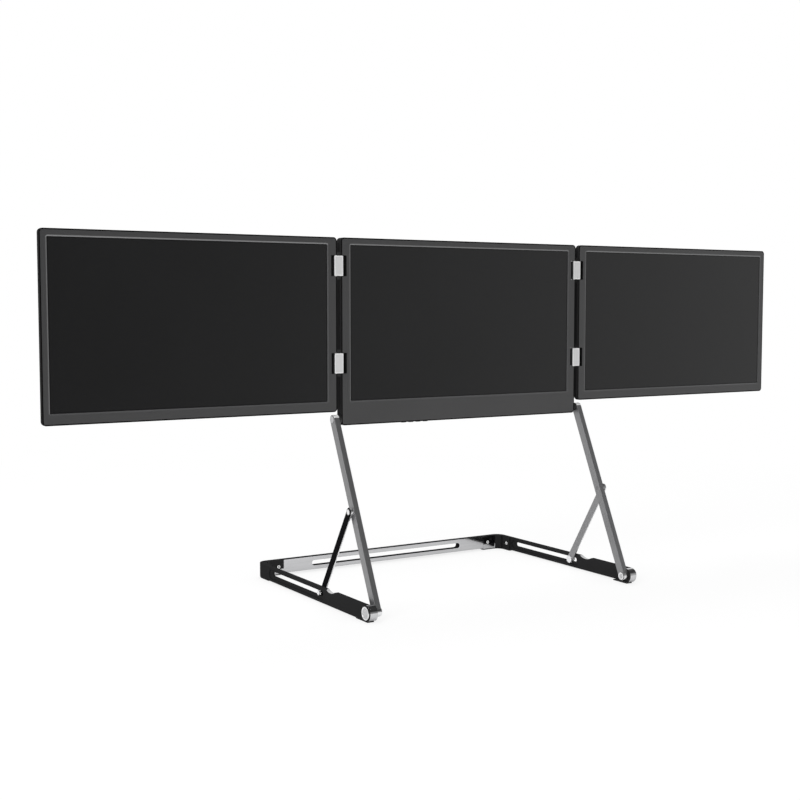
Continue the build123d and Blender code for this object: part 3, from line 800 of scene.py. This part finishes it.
# ---- Base
def make_arms():
    """The slotted arms: satin black, with a mirror finish round the barrel and in the thumb scoop."""
    arm = copy_of("right_arm", "right_side_arm")
    round_edges(arm, BASE_EDGE, angle=40)

    def pick(face):
        if abs(face.normal.x) > ARM_SIDE:
            return 0
        barrel = face.center.y < LEG_PIVOT[0] - NEAR
        depth = BASE_TOP - face.center.z
        scoop = face.normal.z > SCOOP_TOP and SCOOP_DEPTHS[0] < depth < SCOOP_DEPTHS[1]
        return 1 if barrel or scoop else 0

    finish_both_sides(arm, "arm", [base_black, base_mirror], pick)


def make_corners():
    """The bends that join arms and beam: glossy inside, with the beam's polish along the bottom."""
    corner = copy_of("right_corner", "right_corner_bend")
    choose(corner, "FACE", everything)
    bpy.ops.mesh.bisect(plane_co=(0, 0, POLISH_TOP), plane_no=(0, 0, 1))
    leave(corner)
    round_edges(corner, BASE_EDGE, angle=40)

    def pick(face):
        outside = face.normal.y > -CORNER_FRONT or abs(face.normal.z) > CORNER_TOP
        if outside or face.center.y < BEAM_FRONT - BEND_REACH:
            return 0
        return 1 if face.normal.y < -CORNER_FLAT_FRONT and face.center.z < POLISH_TOP else 2

    finish_both_sides(corner, "corner", [base_black, beam_metal, base_gloss], pick)


def make_beam():
    """The slotted cross beam, black all round, with a polished inner face."""
    beam = copy_of("rear_beam", "slotted_rear_beam")
    round_edges(beam, BASE_EDGE, angle=40)
    on_front = faces("-Y")

    def pick(face):
        return 1 if on_front(face) and face.center.y < BEAM_FRONT + 2 * NEAR else 0

    finish_piece(beam, "rear_beam", [base_black, beam_metal], pick)


def make_base_feet():
    """The rubber pads under the base."""
    feet = copy_of("base_feet", "rubber_pads")
    round_edges(feet, RUBBER_EDGE, angle=50)
    finish_piece(feet, "base_feet", [foot_rubber])


def start_screw(name, axis, centre, levels, radii, edge):
    """A screw with a rounded head and a hexagon recess. The levels are its top, its seat and its tip."""
    top, seat, end = levels
    out = 1 if top > seat else -1
    cap = start_disc(name, axis, sorted((top, seat)), centre, radii[0], SCREW_HEAD_SIDES)
    round_edges(cap, edge, segments=3, angle=60)
    recess_span = sorted((top + out * MM, top - out * RECESS_DEPTH))
    cut(cap, start_disc("tool", axis, recess_span, centre, RECESS_RADIUS, HEXAGON))
    body = start_disc("shank", axis, sorted((seat, end)), centre, radii[1], SCREW_SHANK_SIDES)
    inset(body, faces(("-" if out > 0 else "+") + axis), SCREW_TIP_STEPS)
    return join(name, [cap, body])


def make_corner_screws():
    """Two screws in each corner: one through the arm's tongue, one through the beam's, with their hex recesses
    painted black as shade.
    """
    arm_seat = ARM_INNER - CORNER_PLATE
    arm_top = arm_seat - CORNER_SCREW_HEAD
    beam_top = BEAM_FRONT - CORNER_SCREW_HEAD
    arm_screw = start_screw(
        "arm_screw", "X", (ARM_SCREW_Y, ARM_MIDDLE), (arm_top, arm_seat, ARM_INNER + ARM_SCREW_GRIP),
        CORNER_SCREW_RADII, CORNER_SCREW_EDGE,
    )
    beam_screw = start_screw(
        "beam_screw", "Y", (BEAM_SCREW_X, BEAM_SCREW_Z), (beam_top, BEAM_FRONT, BEAM_FRONT + BEAM_SCREW_GRIP),
        CORNER_SCREW_RADII, CORNER_SCREW_EDGE,
    )

    def in_black_painted_recess(across, up, depth):
        within = Vector((across, up)).length < RECESS_RADIUS + NEAR
        return within and NEAR / 2 < depth < CORNER_SCREW_HEAD - NEAR

    # Faces inside the hex recesses get black as painted shade; the rest of each screw is bright steel.
    def pick(face):
        x, y, z = face.center
        in_arm = in_black_painted_recess(y - ARM_SCREW_Y, z - ARM_MIDDLE, abs(x) - arm_top)
        in_beam = in_black_painted_recess(abs(x) - BEAM_SCREW_X, z - BEAM_SCREW_Z, y - beam_top)
        return 1 if in_arm or in_beam else 0

    screws = pair_of("corner_joint_screws", [arm_screw, beam_screw])
    finish_piece(screws, "corner_screws", [bright_steel, washer_black], pick)


# ---- Screens and hinges
def make_case_screws(node):
    """Four flush screws in the back of a screen."""
    low, high = box_of(node)
    radius = CASE_SCREW_RADII[0]
    wide = high.x - low.x - 2 * radius
    tall = high.z - low.z - 2 * radius
    levels = (high.y, high.y - CASE_SCREW_HEAD, low.y)
    start = (low.x + radius, low.z + radius)
    first = start_screw(node + "_first", "Y", start, levels, CASE_SCREW_RADII, HEAD_EDGE)
    offsets = ((wide, 0, 0), (0, 0, tall), (wide, 0, tall))
    others = [moved_copy(first, node + "_copy", offset) for offset in offsets]
    finish_piece(join(node.replace("screws", "case_screws"), [first, *others]), node, [plain_steel])


def make_link(node):
    """A hinge block with a broad bevel round the front, painted brighter as a highlight, and sides painted dark as
    shade.
    """
    low, high = box_of(node)
    link = start_block(node + "_block", low + Vector((0, LINK_FRONT_DROP, 0)), high)
    inset(link, faces("-Y"), ((LINK_FRONT_BEVEL, LINK_FRONT_DROP),))
    round_edges(link, LINK_EDGE, angle=60)

    # Sides get painted shade, bevels get a painted highlight, and the flat front keeps the plain silver.
    def pick(face):
        if face.normal.y > -LINK_FRONT:
            return 2
        return 0 if face.normal.y < -LINK_FLAT_FRONT and face.center.y < low.y + NEAR else 1

    finish_piece(link, node, [hinge_satin, hinge_painted_highlight, hinge_flank_painted_shade], pick)


def square_hinge_side(case, node):
    """Fills out the back edge of an outer screen's case beside the hinge, so that no light shows past it."""
    low, high = box_of(node)
    side = low.x if low.x > 0 else high.x
    rear = high.y - WING_BACK_ROUND - NEAR

    def on_edge(vert):
        x, y, z = vert.co
        between_corners = low.z + SCREEN_CORNER < z < high.z - SCREEN_CORNER
        return abs(x - side) < HINGE_SIDE_REACH and y > rear and between_corners

    choose(case, "VERT", on_edge)
    bpy.ops.transform.resize(value=(0, 1, 1), center_override=(side, 0, 0))
    leave(case)


def make_case(node):
    """A rear housing whose front rim is painted dark as shade."""
    case = copy_of(node, node + "_case")
    if "wing" in node:
        square_hinge_side(case, node)

    # Faces that look forwards get the rim's painted shade.
    def pick(face):
        return 1 if face.normal.y < -CASE_FRONT else 0

    finish_piece(case, node, [case_black, rim_painted_shade], pick)


def make_bezel(node):
    """A front frame with its broken edge at the rim painted dark as shade, and its bevel down to the glass painted
    lighter as a highlight, lightest where it faces down.
    """
    bezel = copy_of(node, node + "_frame")
    low, high = box_of(node)
    points = bezel.data.vertices

    def at_rim(point):
        reach = min(point.x - low.x, high.x - point.x, point.z - low.z, high.z - point.z)
        return reach < BEZEL_RIM_REACH and point.y < low.y + BEZEL_EDGE

    def on_rim(edge):
        ends = [points[index].co for index in edge.vertices]
        return all(at_rim(end) and end.y < low.y + NEAR / 2 for end in ends)

    choose(bezel, "EDGE", on_rim)
    bpy.ops.mesh.bevel(offset=BEZEL_EDGE, segments=1, affect="EDGES")
    leave(bezel)

    # The rim's broken edge gets painted shade, and the inner bevel gets painted highlights: the top one brighter,
    # the sides less so.
    def pick(face):
        slanted = BEZEL_BEVEL_RANGE[0] < -face.normal.y < BEZEL_BEVEL_RANGE[1]
        if not slanted or face.center.y > low.y + BEZEL_BEVEL_DEPTH:
            return 0
        if at_rim(face.center):
            return 1
        return 2 if face.normal.z < -BEZEL_TOP_BEVEL else 3

    finish_piece(bezel, node, [bezel_grey, rim_painted_shade, bezel_top_painted_highlight, bezel_side_painted_highlight], pick)


def make_display(node):
    """A glass pane with a narrow black border round the picture area, which also paints the shade in the gap under
    the bezel's inner edge.
    """
    low, high = box_of(node)
    middle = middle_of(node)
    on_front = faces("-Y")
    pane = start_block(node + "_pane", low, high)
    inset(pane, on_front, ((SCREEN_BORDER, 0),))
    round_edges(pane, PANE_EDGE, angle=60)

    def pick(face):
        picture = on_front(face) and (face.center - middle).xz.length < PICTURE_MIDDLE
        return 0 if picture else 1

    finish_piece(pane, node, [screen_glass, screen_border_and_shade], pick)


def make_button(node):
    """A pill-shaped key with a rounded tip, on a flange inside the chin, with a stem above."""
    low, high = box_of(node)
    middle = middle_of(node)
    start = (middle.x - KEY_HALF_RUN, middle.y)
    flange_span = [low.z + level for level in FLANGE_LEVELS]
    key = start_disc(node + "_key", "Z", (low.z, low.z + KEY_HEIGHT), start, KEY_RADIUS, KEY_SIDES)
    flange = start_disc("flange", "Z", flange_span, start, FLANGE_RADIUS, KEY_SIDES)
    for part in (key, flange):
        choose(part, "VERT", lambda vert: vert.co.x > start[0] + TINY)
        bpy.ops.transform.translate(value=(2 * KEY_HALF_RUN, 0, 0))
        leave(part)
    inset(key, faces("-Z"), KEY_STEPS)
    round_edges(key, KEY_EDGE)
    stem_low = (middle.x - STEM_HALF_WIDTH, middle.y - STEM_HALF_DEPTH, flange_span[1])
    stem_high = (middle.x + STEM_HALF_WIDTH, middle.y + STEM_HALF_DEPTH, high.z)
    stem = start_block("stem", stem_low, stem_high)
    round_edges(stem, STEM_EDGE)
    finish_piece(join(node + "_piece", [key, flange, stem]), node, [button_black])


# ---- The whole object
SCREENS = ("centre", "left_wing", "right_wing")

make_legs()
make_leg_pins()
make_leg_rings()
make_brace_pins()
make_brace_washers()
make_tilt_pins()
make_brace_layer("brace_bar", BRACE_BAR_EDGE, [brace_silver, polished_steel])
make_brace_layer("brace_cover", BRACE_COVER_EDGE, [brace_black, polished_steel])
make_brace_feet()
make_arms()
make_corners()
make_beam()
make_base_feet()
make_corner_screws()
for screen in SCREENS:
    make_case_screws(screen + "_screws")
for link_node in ("left_upper_link", "left_lower_link", "right_upper_link", "right_lower_link"):
    make_link(link_node)
for case_node in ("centre_rear_housing", "left_wing_housing", "right_wing_housing"):
    make_case(case_node)
for screen in SCREENS:
    make_bezel(screen + "_bezel")
for screen in SCREENS:
    make_display(screen + "_display")
for button in ("power_button", "menu_button", "minus_button", "plus_button"):
    make_button(button)


# ---- Floor, light and camera
WHITE = (1, 1, 1, 1)
FLOOR_SIZE = 60
FLOOR_LEVEL = -0.2 * MM
FLOOR_TONE = (0.88, 0.88, 0.88, 1)
GLOW_REACH = (0.5, 1.6)
GLOW_SHARE = (0.8, 1.0)
CLEAR_REACH = (0.5, 1.2)
DARK_SIDE = (-0.3, -0.954, 0)
DARK_SIDE_RANGE = (0.29, 0.87)
DARK_SIDE_LIGHT = (0.85, 0.13)
DARK_TOP = (0, -0.4, 1)
DARK_TOP_RANGE = (0.45, 0.75)
DARK_TOP_LIGHT = (1.0, 0.06)
ROOM_LIGHT = 0.7
CAMERA_PLACE = (-0.94357, -1.4196, 0.3732)
CAMERA_TURN = (radians(85.764), 0, radians(-31.599))
SENSOR_WIDTH = 36
LENS = 56.79


def make_floor():
    """A pale floor that turns to plain white away from the part, and keeps its shadow near it."""
    deselect()
    bpy.ops.mesh.primitive_plane_add(size=FLOOR_SIZE, location=(0, 0, FLOOR_LEVEL))
    floor = settle(bpy.context.object, "studio_floor")
    finish = Finish("Studio floor")
    finish.set(Base_Color=FLOOR_TONE, Roughness=0.9, Specular_IOR_Level=0.0)
    rays = finish.add("ShaderNodeLightPath").outputs
    glow = finish.add("ShaderNodeEmission", Color=WHITE)
    clear = finish.add("ShaderNodeBsdfTransparent")
    length = finish.add("ShaderNodeVectorMath", operation="LENGTH")
    finish.link(finish.coordinates.outputs["Object"], length.inputs[0])
    distance = length.outputs["Value"]
    glow_share = finish.product(rays["Is Camera Ray"], finish.remap(distance, GLOW_REACH, GLOW_SHARE))
    clear_share = finish.product(rays["Is Glossy Ray"], finish.remap(distance, CLEAR_REACH, (0, 1)))
    lit = finish.blend(glow_share, finish.shader.outputs[0], glow.outputs[0])
    surface = finish.blend(clear_share, lit, clear.outputs[0])
    finish.link(surface, finish.nodes["Material Output"].inputs["Surface"])
    floor.data.materials.append(finish.material)


def make_world():
    """White to the camera. Reflections see a bright room behind and beside, darker in front and above."""
    world = bpy.data.worlds.new("Studio world")
    world.use_nodes = True
    bpy.context.scene.world = world
    world.node_tree.nodes.clear()
    sheet = Sheet(world.node_tree)

    def along(direction):
        """How far a ray runs along a direction."""
        dot = sheet.add("ShaderNodeVectorMath", operation="DOT_PRODUCT")
        dot.inputs[1].default_value = direction
        sheet.link(sheet.coordinates.outputs["Generated"], dot.inputs[0])
        return dot.outputs["Value"]

    side = sheet.remap(along(Vector(DARK_SIDE).normalized()), DARK_SIDE_RANGE, DARK_SIDE_LIGHT)
    top = sheet.remap(along(DARK_TOP), DARK_TOP_RANGE, DARK_TOP_LIGHT)
    reflected = sheet.add("ShaderNodeBackground", Color=WHITE)
    sheet.link(sheet.product(side, top), reflected.inputs["Strength"])
    lighting = sheet.add("ShaderNodeBackground", Color=WHITE, Strength=ROOM_LIGHT)
    backdrop = sheet.add("ShaderNodeBackground", Color=WHITE, Strength=1)
    rays = sheet.add("ShaderNodeLightPath").outputs
    room = sheet.blend(rays["Is Glossy Ray"], lighting.outputs[0], reflected.outputs[0])
    surface = sheet.blend(rays["Is Camera Ray"], room, backdrop.outputs[0])
    sheet.link(surface, sheet.add("ShaderNodeOutputWorld").inputs["Surface"])


def make_lamp(name, place, target, size, power):
    """A round area lamp that faces a point."""
    deselect()
    place = Vector(place)
    bpy.ops.object.light_add(type="AREA", location=place)
    lamp = bpy.context.object
    lamp.name = name
    lamp.data.shape = "DISK"
    lamp.data.size = size
    lamp.data.energy = power
    lamp.rotation_mode = "QUATERNION"
    lamp.rotation_quaternion = (Vector(target) - place).to_track_quat("-Z", "Y")


def make_camera():
    deselect()
    bpy.ops.object.camera_add(location=CAMERA_PLACE, rotation=CAMERA_TURN)
    camera = bpy.context.object
    camera.data.sensor_width = SENSOR_WIDTH
    camera.data.lens = LENS
    bpy.context.scene.camera = camera


make_floor()
make_world()
make_lamp("key_lamp", place=(-2.2, -1.2, 1.9), target=(0, 0, 0.25), size=1.8, power=36)
make_lamp("top_lamp", place=(0, 0.6, 2.6), target=(0, 0, 0.1), size=2.4, power=32)
make_camera()

bpy.context.scene.view_settings.view_transform = "Standard"
